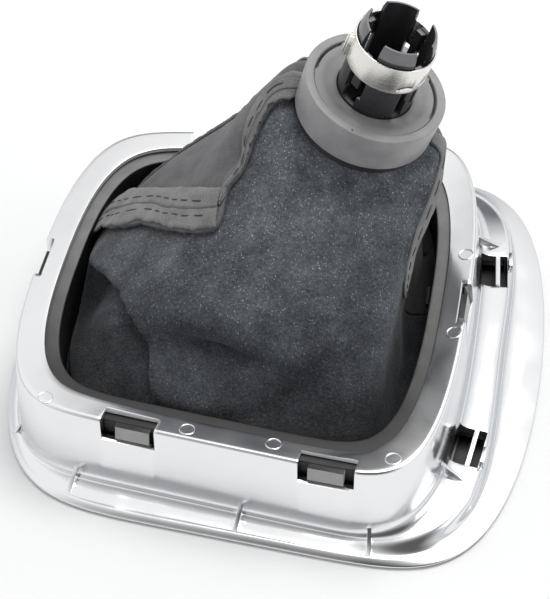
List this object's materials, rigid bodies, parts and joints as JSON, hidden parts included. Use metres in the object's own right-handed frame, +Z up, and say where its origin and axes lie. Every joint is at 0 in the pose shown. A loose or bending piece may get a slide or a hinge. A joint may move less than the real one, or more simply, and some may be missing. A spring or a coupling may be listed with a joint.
{
  "type": "gear knob with gaiter and bezel",
  "caption": "Car gear knob with its sewn gaiter, retainer frame and chrome bezel, lying face down with the slotted lever sleeve pointing up.",
  "frame": {"origin": "on the surface that the flange rests on, in the middle of the whole part's box", "axes": "+X towards the flange's wide end, +Z up, away from the bezel's visible face"},
  "size_m": [0.1752, 0.1734, 0.1173],
  "materials": {
    "bezel_chrome": "chrome-plated ABS, bright on all faces",
    "frame_plastic": "moulded, fine texture",
    "gaiter_suede": "artificial leather, napped suede back outward",
    "collar_plastic": "moulded, satin",
    "tie_plastic": "moulded nylon",
    "sleeve_plastic": "moulded, slight sheen",
    "bush_rubber": "moulded, matt",
    "steel": "bright cold-rolled strip",
    "core_plastic": "moulded",
    "grip_leather": "grained, sewn",
    "trim_chrome": "chrome-plated ABS",
    "cap_gloss": "polished",
    "disc_satin": "satin, plain grooves"
  },
  "bodies": {
    "root": {"bezel": "bezel_chrome", "retainer_frame": "frame_plastic", "gaiter_left_panel": "gaiter_suede", "gaiter_front_panel": "gaiter_suede", "gaiter_right_panel": "gaiter_suede", "gaiter_rear_panel": "gaiter_suede", "collar_ring": "collar_plastic", "collar_plate": "collar_plastic", "gaiter_tie": "tie_plastic", "collet_sleeve": "sleeve_plastic", "lever_bush": "bush_rubber", "clamp_band": "steel", "knob_core": "core_plastic", "grip_wrap_left": "grip_leather", "grip_wrap_right": "grip_leather", "trim_ring": "trim_chrome", "cap": "cap_gloss", "pattern_disc": "disc_satin", "hem_staple_1": "steel", "hem_staple_2": "steel", "hem_staple_3": "steel", "hem_staple_4": "steel", "hem_staple_5": "steel", "hem_staple_6": "steel", "hem_staple_7": "steel", "hem_staple_8": "steel", "hem_staple_9": "steel", "hem_staple_10": "steel", "hem_staple_11": "steel", "hem_staple_12": "steel"}
  },
  "joints": []
}
